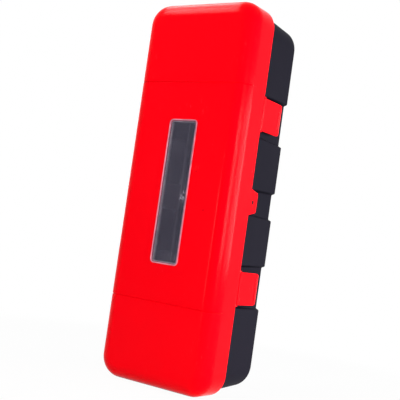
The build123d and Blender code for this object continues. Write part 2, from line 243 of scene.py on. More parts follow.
class Skin:
    """Points and faces of one piece, gathered in millimetres before they become a mesh."""

    def __init__(self) -> None:
        """Start with nothing."""
        self.points: list[Point] = []
        self.faces: list[tuple[int, ...]] = []

    def row(self, points: Iterable[Point]) -> list[int]:
        """Add a row of points and return their numbers."""
        start = len(self.points)
        self.points.extend(points)
        return list(range(start, len(self.points)))

    def band(self, first: Sequence[int], second: Sequence[int], closed: bool = True) -> None:
        """Join two rows of like count with a band of four-sided faces."""
        count = len(first)
        for index in range(count if closed else count - 1):
            after = (index + 1) % count
            self.faces.append((first[index], first[after], second[after], second[index]))

    def loft(self, rows: Sequence[Iterable[Point]], closed: bool = True) -> list[list[int]]:
        """Add rows of points and join each to the next.

        Args:
            rows: The points of each row.
            closed: Whether each row runs round.

        Returns:
            The numbers of each row's points.
        """
        numbers = [self.row(points) for points in rows]
        for first, second in zip(numbers, numbers[1:]):
            self.band(first, second, closed)
        return numbers

    def plate(self, outer: Sequence[int], *holes: Sequence[int]) -> None:
        """Fill a flat outline and leave its holes open."""
        loops = [outer, *holes]
        flat = [number for loop in loops for number in loop]
        places = [[Vector(self.points[number]) for number in loop] for loop in loops]
        for triangle in tessellate_polygon(places):
            self.faces.append(tuple(flat[corner] for corner in triangle))

    def tube(self, rows: Sequence[Iterable[Point]]) -> None:
        """Add rows that run round and close the last to the first."""
        numbers = self.loft(rows)
        self.band(numbers[-1], numbers[0])

    def bar(self, rows: Sequence[Iterable[Point]]) -> None:
        """Add rows that run round, join each to the next and fill the first and the last."""
        numbers = self.loft(rows)
        self.plate(numbers[0])
        self.plate(numbers[-1])

    def prism(self, placed: Placing, ends: Flat, *loops: Sequence[Flat]) -> None:
        """Add a straight solid with any holes through it.

        Args:
            placed: The way that the outline is seen, such as from_above.
            ends: Where the solid begins and ends along that way.
            loops: The outline, then the outline of each hole.
        """
        sides = [self.loft([placed(loop, end) for end in ends]) for loop in loops]
        for edges in zip(*sides):
            self.plate(*edges)

    def upright(self, middle: float, half: float, *loops: Sequence[Flat]) -> None:
        """Add an upright solid by the height of its middle and half of its own height."""
        self.prism(from_above, (middle - half, middle + half), *loops)

    def make(self, name: str, bevel: float = 0.0) -> bpy.types.Object:
        """Turn what was gathered into an object with clean normals.

        Args:
            name: Name of the piece.
            bevel: Width in millimetres of the rounding of its sharp edges.

        Returns:
            The new object, linked to the scene.
        """
        mesh = bpy.data.meshes.new(name)
        mesh.from_pydata([Vector(point) * MM for point in self.points], [], self.faces)
        work = bmesh.new()
        work.from_mesh(mesh)
        bmesh.ops.remove_doubles(work, verts=work.verts, dist=JOIN_WITHIN)
        bmesh.ops.dissolve_degenerate(work, edges=work.edges, dist=DROP_UNDER)
        bmesh.ops.recalc_face_normals(work, faces=work.faces)
        work.to_mesh(mesh)
        work.free()
        mesh.shade_smooth()
        piece = bpy.data.objects.new(name, mesh)
        bpy.context.scene.collection.objects.link(piece)
        if bevel:
            rounding = piece.modifiers.new("Edge rounding", "BEVEL")
            rounding.width = bevel * MM
            rounding.segments = 3
            rounding.limit_method = "ANGLE"
            rounding.angle_limit = SHARP_ANGLE
            rounding.harden_normals = True
        else:
            mesh.set_sharp_from_angle(angle=SHARP_ANGLE)
            weights = piece.modifiers.new("Flat faces", "WEIGHTED_NORMAL")
            weights.keep_sharp = True
        return piece


# Shader nodes

Number = Union[float, "Signal"]
Settings = Union[dict[str, object], None]
Inputs = Union[dict[Union[str, int], object], None]


class Signal:
    """Output of a shader node that takes part in sums as a number does."""

    def __init__(self, recipe: "Recipe", socket: bpy.types.NodeSocket) -> None:
        """Keep the socket and the recipe that its node belongs to."""
        self.recipe = recipe
        self.socket = socket

    def _math(self, operation: str, first: Number, second: Number) -> "Signal":
        """Result of one Math node."""
        return self.recipe.add("ShaderNodeMath", {"operation": operation}, {0: first, 1: second})

    def __add__(self, other: Number) -> "Signal":
        """Sum with a number on the right."""
        return self._math("ADD", self, other)

    def __radd__(self, other: Number) -> "Signal":
        """Sum with a number on the left."""
        return self._math("ADD", other, self)

    def __sub__(self, other: Number) -> "Signal":
        """Difference from a number on the right."""
        return self._math("SUBTRACT", self, other)

    def __rsub__(self, other: Number) -> "Signal":
        """Difference from a number on the left."""
        return self._math("SUBTRACT", other, self)

    def __mul__(self, other: Number) -> "Signal":
        """Product with a number on the right."""
        return self._math("MULTIPLY", self, other)

    def __rmul__(self, other: Number) -> "Signal":
        """Product with a number on the left."""
        return self._math("MULTIPLY", other, self)


@dataclass(frozen=True)
class Pattern:
    """Cloudy pattern: its size as features in a metre, its detail and its roughness."""

    scale: float
    detail: float = 3
    rough: float = 0.5


class Recipe:
    """Node tree of a material or of the world, with one method that adds its nodes."""

    def __init__(self, tree: bpy.types.NodeTree) -> None:
        """Take over a node tree and empty it."""
        self.tree = tree
        tree.nodes.clear()

    def add(self, kind: str, settings: Settings = None, inputs: Inputs = None, output: int = 0) -> Signal:
        """Add one node.

        Args:
            kind: The node's type.
            settings: Its own settings.
            inputs: Values or signals for its sockets, by name or place.
            output: Place of the output that is returned.

        Returns:
            The chosen output as a signal.
        """
        node = self.tree.nodes.new(kind)
        for name, value in (settings or {}).items():
            setattr(node, name, value)
        for name, value in (inputs or {}).items():
            if isinstance(value, Signal):
                self.tree.links.new(value.socket, node.inputs[name])
            else:
                node.inputs[name].default_value = value
        outputs = node.outputs
        return Signal(self, outputs[output] if len(outputs) else None)

    def place(self, stretch: Point = (1, 1, 1), turn: Point = (0, 0, 0)) -> Signal:
        """Place on the object in metres, stretched and turned."""
        here = self.add("ShaderNodeTexCoord", output=3)
        return self.add("ShaderNodeMapping", inputs={"Vector": here, "Scale": stretch, "Rotation": turn})

    def along(self, place: Signal, axis: int) -> Signal:
        """One coordinate of a place: 0 for X, 1 for Y and 2 for Z."""
        return self.add("ShaderNodeSeparateXYZ", inputs={"Vector": place}, output=axis)

    def cells(self, place: Signal, scale: float) -> Signal:
        """Distance from the nearest of many scattered points, of a size given as cells in a metre."""
        return self.add("ShaderNodeTexVoronoi", inputs={"Vector": place, "Scale": scale})

    def principled(self, inputs: Inputs) -> Signal:
        """Shader of a surface with the given inputs."""
        return self.add("ShaderNodeBsdfPrincipled", inputs=inputs)

    def noise(self, place: Signal, kind: Pattern) -> Signal:
        """Cloudy value from 0 to 1."""
        inputs = {"Vector": place, "Scale": kind.scale, "Detail": kind.detail, "Roughness": kind.rough}
        return self.add("ShaderNodeTexNoise", inputs=inputs)

    def ramp(self, value: Signal, low: float, high: float) -> Signal:
        """Value that rises smoothly from 0 at a low level to 1 at a high one."""
        inputs = {"Value": value, "From Min": low, "From Max": high, "To Min": 0.0, "To Max": 1.0}
        return self.add("ShaderNodeMapRange", {"interpolation_type": "SMOOTHSTEP"}, inputs)

    def blend(self, share: Number, first: object, second: object) -> Signal:
        """Colour between two others."""
        colours = {0: share, 6: with_alpha(first), 7: with_alpha(second)}
        return self.add("ShaderNodeMix", {"data_type": "RGBA"}, colours, output=2)

    def relief(self, height: Signal, strength: float, depth: float) -> Signal:
        """Normal of a surface with a fine relief, whose full depth is in millimetres."""
        inputs = {"Height": height, "Strength": strength, "Distance": depth * MM}
        return self.add("ShaderNodeBump", inputs=inputs)


def with_alpha(colour: object) -> object:
    """A colour with full alpha, or the signal that was given."""
    return colour if isinstance(colour, Signal) else (*colour, 1)


# Finishes


@dataclass(frozen=True)
class Finish:
    """Finish of a surface, from which one material is made."""

    name: str

    def shade(self, recipe: Recipe) -> Signal:
        """Add the finish's nodes and return its shader."""
        raise NotImplementedError

    def material(self) -> bpy.types.Material:
        """The finish's material, made when it is first asked for."""
        known = bpy.data.materials.get(self.name)
        if known is not None:
            return known
        made = bpy.data.materials.new(self.name)
        made.use_nodes = True
        recipe = Recipe(made.node_tree)
        recipe.add("ShaderNodeOutputMaterial", inputs={"Surface": self.shade(recipe)})
        return made


@dataclass(frozen=True)
class MouldedRed(Finish):
    """Satin red plastic with faint handling marks and a fine moulded grain."""

    colour: Colour = (0.9, 0.0, 0.005)
    deep_colour: Colour = (0.84, 0.0, 0.004)
    scuff_colour: Colour = (0.97, 0.06, 0.07)
    tick_colour: Colour = (0.3, 0.0, 0.004)
    gloss: float = 0.14
    mirror: float = 0.04
    mirror_tint: Colour = (1.0, 0.6, 0.62)
    cloud: Pattern = Pattern(11, 2)
    grain: Pattern = Pattern(1900, 2, 0.6)
    streak: Pattern = Pattern(420, 3, 0.6)
    fleck: Pattern = Pattern(330, 4, 0.6)
    tick_zone: Pattern = Pattern(17, 2)
    tick_scale: float = 34.0

    def shade(self, recipe: Recipe) -> Signal:
        """Add the nodes of the red plastic."""
        even = recipe.place()
        drawn = recipe.place(stretch=(1, 1, 0.04))
        cloud = recipe.noise(even, self.cloud)
        grain = recipe.noise(even, self.grain)
        streak = recipe.noise(drawn, self.streak)
        fleck = recipe.noise(recipe.place(stretch=(1, 1, 0.3)), self.fleck)
        scuff = recipe.ramp(fleck, 0.62, 0.72) * recipe.ramp(cloud, 0.48, 0.66)
        dots = recipe.cells(recipe.place(stretch=(1, 1, 0.6)), self.tick_scale)
        tick = recipe.ramp(dots, 0.045, 0.02) * recipe.ramp(recipe.noise(even, self.tick_zone), 0.5, 0.56)
        colour = recipe.blend(cloud * 0.5, self.colour, self.deep_colour)
        worn = recipe.blend(scuff * 0.4, colour, self.scuff_colour)
        return recipe.principled({
            "Base Color": recipe.blend(tick * 0.5, worn, self.tick_colour),
            "Roughness": self.gloss + 0.08 * cloud + 0.12 * scuff - 0.04 * grain,
            "Specular IOR Level": self.mirror,
            "Specular Tint": with_alpha(self.mirror_tint),
            "Normal": recipe.relief(0.3 * grain + 1.3 * streak + 0.4 * tick, 0.5, 0.09),
        })


@dataclass(frozen=True)
class TexturedBlack(Finish):
    """Black plastic with a spark-eroded texture, a little dusty towards the bottom."""

    colour: Colour = (0.0036, 0.003, 0.0072)
    dusty_colour: Colour = (0.0078, 0.0068, 0.0125)
    dust_from: float = 0.05
    dust_to: float = -0.33
    mirror: float = 0.04
    cloud: Pattern = Pattern(14)
    grain: Pattern = Pattern(1300, 3, 0.65)
    pit_scale: float = 900.0

    def shade(self, recipe: Recipe) -> Signal:
        """Add the nodes of the black plastic."""
        even = recipe.place()
        cloud = recipe.noise(even, self.cloud)
        grain = recipe.noise(even, self.grain)
        pits = recipe.cells(even, self.pit_scale)
        dust = recipe.ramp(recipe.along(even, 2), self.dust_from, self.dust_to) * (0.7 + 0.5 * cloud)
        speck = recipe.ramp(grain, 0.56, 0.74)
        colour = recipe.blend(dust, self.colour, self.dusty_colour)
        return recipe.principled({
            "Base Color": recipe.blend(speck * 0.3, colour, self.dusty_colour),
            "Roughness": 0.56 + 0.1 * cloud - 0.1 * speck,
            "Specular IOR Level": self.mirror,
            "Normal": recipe.relief(grain + 0.5 * pits, 0.35, 0.12),
        })


@dataclass(frozen=True)
class ClearPane(Finish):
    """Clear moulded plastic, hazed by dust, with fine slanting scratches, one worn patch and a painted
    reflection line.
    """

    colour: Colour = (0.064, 0.061, 0.094)
    haze_and_reflection_colour: Colour = (0.36, 0.33, 0.4)
    clear_share: float = 0.74
    patch_place: Flat = (0.021, -0.008)
    patch_size: Flat = (0.009, 0.014)
    reflection_line_x: float = 0.0145
    scratch_slant: float = 24.0
    patch_slant: float = 30.0
    refraction: float = 1.49
    cloud: Pattern = Pattern(26)
    scratch: Pattern = Pattern(520, 2)
    wear: Pattern = Pattern(420, 4, 0.65)

    def shade(self, recipe: Recipe) -> Signal:
        """Add the nodes of the clear plastic."""
        even = recipe.place()
        slanting = recipe.place(stretch=(1, 1, 0.05), turn=(0, radians(self.scratch_slant), 0))
        across, up = recipe.along(even, 0), recipe.along(even, 2)
        cloud = recipe.noise(even, self.cloud)
        scratch = recipe.noise(slanting, self.scratch)
        rubbed = recipe.place(stretch=(1, 1, 0.4), turn=(0, radians(self.patch_slant), 0))
        wear = recipe.noise(rubbed, self.wear)
        marks = recipe.ramp(scratch, 0.64, 0.74) * recipe.ramp(cloud, 0.42, 0.66)
        aside = (across - self.patch_place[0]) * (1 / self.patch_size[0])
        above = (up - self.patch_place[1]) * (1 / self.patch_size[1])
        patch = recipe.ramp(aside * aside + above * above, 1.0, 0.1) * recipe.ramp(wear, 0.5, 0.62)
        # Painted reflection: a faint pale upright line across the pane.
        from_line = (across - self.reflection_line_x) * (1 / MM)
        line = recipe.ramp(from_line * from_line, 0.5, 0.05)
        # This sum mixes real haze, scratches and wear with the painted reflection line.
        haze_and_reflection = 0.2 * cloud + 0.4 * marks + 0.8 * patch + 0.2 * line
        return recipe.principled({
            "Base Color": recipe.blend(haze_and_reflection, self.colour, self.haze_and_reflection_colour),
            "Roughness": 0.16 + 0.3 * marks + 0.06 * cloud,
            "IOR": self.refraction,
            "Specular IOR Level": 0.12,
            "Alpha": 1 - self.clear_share * (1 - haze_and_reflection),
            "Normal": recipe.relief(scratch, 0.05, 0.05),
        })


@dataclass(frozen=True)
class PaintedLightEdge(Finish):
    """Thick edge of clear plastic with painted light: a pale painted glow tinted with the red seen behind it,
    and painted shade further back.
    """

    # Painted glow where the edge gathers light, with the red behind it painted in, in two tones.
    colour: Colour = (0.66, 0.2, 0.28)
    shaded_colour: Colour = (0.46, 0.14, 0.2)
    # Painted shade for the back of the well.
    deep_colour: Colour = (0.03, 0.027, 0.04)
    pale_to: float = -0.1615
    dark_from: float = -0.159
    refraction: float = 1.49
    cloud: Pattern = Pattern(70)
    fine: Pattern = Pattern(900, 3, 0.6)

    def shade(self, recipe: Recipe) -> Signal:
        """Add the nodes of the edge."""
        cloud = recipe.noise(recipe.place(), self.cloud)
        fine = recipe.noise(recipe.place(), self.fine)
        # Painted shade: darker from this depth towards the back.
        deep = recipe.ramp(recipe.along(recipe.place(), 1), self.pale_to, self.dark_from)
        # Painted glow, varied between its two tones by a cloudy pattern.
        pale = recipe.blend(recipe.ramp(cloud, 0.4, 0.65), self.colour, self.shaded_colour)
        return recipe.principled({
            "Base Color": recipe.blend(deep, pale, self.deep_colour),
            "Roughness": 0.22 + 0.2 * fine,
            "IOR": self.refraction,
            "Specular IOR Level": 0.4,
            "Normal": recipe.relief(fine, 0.1, 0.05),
        })


@dataclass(frozen=True)
class DrawnSteel(Finish):
    """Drawn steel wire with fine lines along it."""

    colour: Colour = (0.6, 0.6, 0.62)
    dull_colour: Colour = (0.4, 0.39, 0.38)
    lines: Pattern = Pattern(2600, 3, 0.6)
    cloud: Pattern = Pattern(180)

    def shade(self, recipe: Recipe) -> Signal:
        """Add the nodes of the steel."""
        lines = recipe.noise(recipe.place(stretch=(1, 1, 0.02)), self.lines)
        cloud = recipe.noise(recipe.place(), self.cloud)
        return recipe.principled({
            "Base Color": recipe.blend(0.4 * cloud, self.colour, self.dull_colour),
            "Metallic": 1.0,
            "Roughness": 0.26 + 0.22 * lines,
            "Normal": recipe.relief(lines, 0.15, 0.02),
        })


@dataclass(frozen=True)
class FoamRubber(Finish):
    """Black foam strip with small open cells."""

    colour: Colour = (0.02, 0.02, 0.021)
    dusty_colour: Colour = (0.045, 0.045, 0.048)
    cell_scale: float = 1500.0
    cell_softness: float = 0.4
    cloud: Pattern = Pattern(60)

    def shade(self, recipe: Recipe) -> Signal:
        """Add the nodes of the foam rubber."""
        even = recipe.place()
        inputs = {"Vector": even, "Scale": self.cell_scale, "Smoothness": self.cell_softness}
        cells = recipe.add("ShaderNodeTexVoronoi", {"feature": "SMOOTH_F1"}, inputs)
        cloud = recipe.noise(even, self.cloud)
        return recipe.principled({
            "Base Color": recipe.blend(0.6 * cloud, self.colour, self.dusty_colour),
            "Roughness": 0.82 + 0.12 * cloud,
            "Specular IOR Level": 0.2,
            "Normal": recipe.relief(cells, 0.6, 0.25),
        })


@dataclass(frozen=True)
class PaleFloor(Finish):
    """Plain pale floor that takes the cabinet's shadow softly."""

    colour: Colour = (0.64, 0.64, 0.64)
    own_light: float = 0.96
    fade_from: float = 0.35
    fade_to: float = 0.8

    def shade(self, recipe: Recipe) -> Signal:
        """Add the nodes of the floor."""
        seen = background_rays(recipe)
        place = recipe.place()
        x, y = recipe.along(place, 0), recipe.along(place, 1)
        away = recipe.ramp(x * x + y * y, self.fade_from, self.fade_to)
        light = self.own_light + (1 - self.own_light) * away
        matt = recipe.add("ShaderNodeBsdfDiffuse", inputs={"Color": with_alpha(self.colour)})
        white = recipe.add("ShaderNodeEmission", inputs={"Color": WHITE, "Strength": 1.0})
        return recipe.add("ShaderNodeMixShader", inputs={0: light * seen, 1: matt, 2: white})


def background_rays(recipe: Recipe) -> Signal:
    """1 where the camera sees the background, also in metal and through the pane."""
    camera, glossy, through = (recipe.add("ShaderNodeLightPath", output=kind) for kind in (0, 3, 6))
    return recipe.add("ShaderNodeClamp", inputs={"Value": camera + glossy + through})


LID_RED = MouldedRed("Satin red plastic")
TRAY_BLACK = TexturedBlack("Textured black plastic")
PANE_CLEAR = ClearPane("Hazed clear plastic")
# Pink painted glow on the bead round the pane.
BEAD_CLEAR = PaintedLightEdge("Clear bead with painted light")
# Pale painted glow on the wall of the well, with painted shade deeper in.
WALL_CLEAR = PaintedLightEdge("Clear plastic at the well", (0.6, 0.5, 0.56), (0.42, 0.36, 0.42))
PIN_STEEL = DrawnSteel("Drawn steel")
SEAL_FOAM = FoamRubber("Foam rubber")
FLOOR_PALE = PaleFloor("Pale floor")

TRAY_NODES = (
    *("tray_back", "tray_top", "tray_bottom", "tray_corners", "recess_left_middle", "recess_right_middle"),
    *(
        f"{part}_{side}_{place}"
        for part in ("recess", "block", "side")
        for side in ("left", "right")
        for place in ("lower", "upper")
    ),
)
PIN_NODES = tuple(f"{kind}_pin_{place}" for kind in ("latch", "hinge") for place in ("upper", "lower"))

RECESS_MIDDLES = {Level.LOWER: -152.0, Level.UPPER: 154.5}
LATCH_MIDDLES = {Level.LOWER: -154.5, Level.UPPER: 158.5}
LATCH_AXIS = (115.5, -93.0)
HINGE_AXIS = (-123.0, -92.0)
LATCH_PIN = 1.5
HINGE_PIN = 2.5
HINGE_EYE = 5.5
ARC_MIDDLE = 0.29
MOUTH = RoundFrame(102.0, 332.0, 30.0, steps=16)
MOUTH_EDGE = 0.5


def mouth_rows(front_y: float, back_y: float) -> list[list[Point]]:
    """Rows of the mouth through the tray's flange or the lid's ledge, with rounded edges."""
    edge = MOUTH_EDGE
    steps = ((-edge, front_y), (0.0, front_y + edge), (0.0, back_y - edge), (-edge, back_y))
    return [MOUTH.row(inset, y) for inset, y in steps]


# Sub-assemblies


@dataclass
class Assembly:
    """Sub-assembly whose pieces share a body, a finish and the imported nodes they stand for."""

    body: str
    slot: str
    finish: Finish
    nodes: tuple[str, ...]
    pieces: list[bpy.types.Object] = field(default_factory=list, init=False)

    def build(self) -> None:
        """Make the meshes of the sub-assembly."""
        raise NotImplementedError

    def dress(self) -> None:
        """Give each piece its finish and its body, and hide the nodes that it stands for."""
        for piece in self.pieces:
            if not piece.data.materials:
                piece.data.materials.append(self.finish.material())
            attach(piece, self.body)
            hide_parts(*self.nodes)
            log.info("%s rides on %s in %s", piece.name, self.body, piece.data.materials[0].name)


@dataclass
class Lid(Assembly):
    """Red lid: a deep shell with two grooves, a window opening and a lug for a seal."""

    half_width: float = 120.0
    half_height: float = 350.0
    front_y: float = -165.0
    rim_y: float = -98.0
    wall: float = 3.0
    corner_radius: float = 40.0
    edge_radius: float = 27.0
    edge_steps: int = 14
    rim_rounding: float = 0.8
    groove_level: float = 199.0
    groove_half: tuple[Flat, ...] = ((0.0, 1.5), (0.4, 1.35), (0.75, 0.6), (0.95, 0.1), (1.5, 0.0))
    groove_end: tuple[Flat, ...] = ((-133.5, 0.0), (-134.6, 0.35), (-136.0, 0.85), (-138.0, 1.0))
    lug_zone: float = 30.0
    lug_root: float = 23.5
    lug_tip: float = 17.5
    lug_reach: float = 24.0
    lug_radius: float = 4.0
    lug_root_radius: float = 1.6
    slot_y: float = -88.5
    slot_length: float = 8.4
    slot_width: float = 6.8
    slot_relief: float = 3.4
    slot_edge: float = 0.3
    slot_roundness: float = 0.98
    base_y: float = -104.0
    window: RoundFrame = RoundFrame(30.2, 131.0, 8.0)
    window_seat: tuple[Flat, ...] = (
        *((-0.3, 0.0), (-0.09, 0.09), (0.0, 0.3), (0.0, 1.2), (3.0, 1.2)),
        *((3.0, 7.6), (2.7, 8.0), (0.9, 8.0), (0.5, 7.6), (0.5, 3.0)),
    )
    ledge: RoundFrame = RoundFrame(118.5, 348.5, 38.5, steps=16)
    ledge_ends: Flat = (-110.0, -107.0)
    ear_half_width: float = 3.2
    ear_root_y: float = -103.5
    ear_radius: float = 1.0
    ear_half_height: float = 1.0
    ear_middle: float = 30.65
    arm_root: Flat = (-118.5, -120.0)
    arm_foot_y: float = -98.4
    arm_sweep: Flat = (190.0, -62.0)
    arm_half: float = 7.0
    arm_middle: float = 20.4

    def __post_init__(self) -> None:
        """Work out the frame of the shell and its grooves' depths."""
        profile = [(-offset, depth) for offset, depth in reversed(self.groove_half[1:])]
        profile += self.groove_half
        middles = (-self.groove_level, self.groove_level)
        self.grooves = [[middle + offset for offset, _ in profile] for middle in middles]
        self.depths = {middle + offset: depth for middle in middles for offset, depth in profile}
        levels = (*self.depths, -self.lug_zone, self.lug_zone)
        self.shell = RoundFrame(
            self.half_width, self.half_height, self.corner_radius, steps=16, levels=levels
        )

    def build(self) -> None:
        """Make the shell, the ledge, the ears and the hinge arms."""
        skin = Skin()
        outer_rim, inner_rim = self._add_rim(skin)
        front = self._add_outside(skin, outer_rim)
        self._add_front(skin, front)
        self._add_inside(skin, inner_rim)
        self.pieces = [skin.make("lid_shell"), self._make_ledge(), self._make_ears(), self._make_hinge_arms()]

    def _shell_row(self, angle: float, y: float, share: float = 1.0) -> list[Point]:
        """Row of the outside at an angle round the edge, with a share of the grooves' depth."""
        turn = radians(angle)
        inset = self.edge_radius * (1 - cos(turn))
        depth_y = y - self.edge_radius * sin(turn)
        row = []
        for (foot_x, foot_z), (out_x, out_z) in self.shell.stations():
            on_side = out_z == 0 and foot_z in self.depths
            groove = self.depths[foot_z] * share if on_side else 0.0
            reach = self.corner_radius - inset - groove * cos(turn)
            row.append((foot_x + out_x * reach, depth_y + groove * sin(turn), foot_z + out_z * reach))
        return row

    def _lug_path(self) -> list[Flat]:
        """Edge of the rim round the lug in Z and Y, from below the lug to above it."""
        tip_y = self.rim_y + self.lug_reach
        half = [
            Corner(self.lug_tip, tip_y, self.lug_radius, 8),
            Corner(self.lug_root, self.rim_y, self.lug_root_radius, 4),
            Corner(self.lug_zone, self.rim_y),
        ]
        return rounded([*mirrored(half), *half], closed=False)

    def _add_rim(self, skin: Skin) -> tuple[list[int], list[int]]:
        """Add the rounded rim with the lug.

        Args:
            skin: What the rim is added to.

        Returns:
            The numbers of the rows at the foot of the rim, outside and inside.
        """
        path = self._lug_path()
        bend, between = self.rim_rounding, ARC_MIDDLE * self.rim_rounding
        steps = [(bend, 0.0), (between, between), (0.0, bend)]
        steps += [(edge, self.wall - inset) for edge, inset in reversed(steps)]
        rows = []
        for edge, inset in steps:
            lug = beside(path, edge)[1:-1]
            rows.append(self.shell.row(inset, self.rim_y - edge) + from_side(lug, self.half_width - inset))
        numbers = skin.loft(rows)
        count = len(self.shell.stations())
        feet = []
        holes = []
        for rim, inset in ((numbers[0], 0.0), (numbers[-1], self.wall)):
            foot = skin.row(self.shell.row(inset, self.base_y))
            skin.band(rim[:count], foot, closed=False)
            edge = self.slot_edge if inset else -self.slot_edge
            relief = self.slot_relief if inset else 0.0
            face_x = self.half_width - inset
            wide = skin.row(from_side(self._slot(self.slot_edge, relief), face_x))
            narrow = skin.row(from_side(self._slot(0.0, relief), face_x + edge))
            skin.band(wide, narrow)
            skin.plate([foot[-1], foot[0], rim[0], *reversed(rim[count:]), rim[count - 1]], wide)
            feet.append(foot)
            holes.append(narrow)
        skin.band(*holes)
        return feet[0], feet[1]

    def _slot(self, grow: float, relief: float) -> list[Flat]:
        """Slot of the lug in Z and Y, grown by an amount and also backwards by a relief."""
        half_length = self.slot_length / 2 + grow
        half_width = self.slot_width / 2 + grow
        ends_y = (self.slot_y - half_width, self.slot_y + half_width + relief)
        return rounded([
            Corner(side * half_length, ends_y[end], half_width * self.slot_roundness)
            for side, end in ((-1, 0), (1, 0), (1, 1), (-1, 1))
        ])

    def _add_outside(self, skin: Skin, foot: list[int]) -> list[int]:
        """Add the skirt and the rounded edge above a foot row and return the front's row."""
        edge_y = self.front_y + self.edge_radius
        rows = [self._shell_row(0, y, share) for y, share in self.groove_end]
        steps = range(1, self.edge_steps + 1)
        rows += [self._shell_row(90 * step / self.edge_steps, edge_y) for step in steps]
        numbers = skin.loft(rows)
        skin.band(foot, numbers[0])
        return numbers[-1]

    def _add_front(self, skin: Skin, row: list[int]) -> None:
        """Fill the flat front: three plates with the two grooves between them."""
        lower, upper = self.grooves
        right, left = (partial(self.shell.place_of, side) for side in (Side.RIGHT, Side.LEFT))
        skin.plate(row[right(upper[-1]) : left(upper[-1]) + 1])
        skin.plate(row[left(lower[0]) : right(lower[0]) + 1])
        for levels in self.grooves:
            ends = [[row[left(level)], row[right(level)]] for level in levels]
            for first, second in zip(ends, ends[1:]):
                skin.band(first, second, closed=False)
        rising = (lower[-1], -self.lug_zone, self.lug_zone, upper[0])
        corners = [row[right(level)] for level in rising] + [row[left(level)] for level in reversed(rising)]
        seat = skin.loft([self.window.row(inset, self.front_y + into) for inset, into in self.window_seat])
        skin.plate(corners, seat[0])
        self.window_foot = seat[-1]

    def _add_inside(self, skin: Skin, foot: list[int]) -> None:
        """Add the inside from a foot row up to the frame of the window."""
        edge_y = self.front_y + self.edge_radius
        radius = self.edge_radius - self.wall
        rows = []
        for step in range(self.edge_steps + 1):
            turn = pi / 2 * step / self.edge_steps
            inset = self.wall + radius * (1 - cos(turn))
            rows.append(self.shell.row(inset, edge_y - radius * sin(turn)))
        numbers = skin.loft(rows)
        skin.band(foot, numbers[0])
        skin.plate(numbers[-1], self.window_foot)

    def _make_ledge(self) -> bpy.types.Object:
        """Ledge inside the lid that carries the seal."""
        skin = Skin()
        outside = [self.ledge.row(0.0, y) for y in reversed(self.ledge_ends)]
        skin.tube(outside + mouth_rows(*self.ledge_ends))
        return skin.make("seal_ledge")

    def _make_ears(self) -> bpy.types.Object:
        """Ears behind the rim that hold the latch pins."""
        skin = Skin()
        x, y = LATCH_AXIS
        half = self.ear_half_width
        outline = rounded([
            Corner(x - half, self.ear_root_y),
            Corner(x + half, self.ear_root_y),
            Corner(x + half, y + half, self.ear_radius, 3),
            Corner(x - half, y + half, self.ear_radius, 3),
        ])
        hole = circle(LATCH_AXIS, LATCH_PIN, 20)
        for level in Level:
            for end in (-1, 1):
                middle = LATCH_MIDDLES[level] + end * self.ear_middle
                skin.upright(middle, self.ear_half_height, outline, hole)
        return skin.make("latch_ears", bevel=0.4)

    def _make_hinge_arms(self) -> bpy.types.Object:
        """Arms on the left side that turn on the hinge pins."""
        skin = Skin()
        eye = arc(HINGE_AXIS, HINGE_EYE, *self.arm_sweep, 20)
        outline = [self.arm_root, *eye, (self.arm_root[0], self.arm_foot_y)]
        hole = circle(HINGE_AXIS, HINGE_PIN, 24)
        for level in Level:
            for end in (-1, 1):
                middle = RECESS_MIDDLES[level] + end * self.arm_middle
                skin.upright(middle, self.arm_half, outline, hole)
        return skin.make("hinge_arms", bevel=0.7)


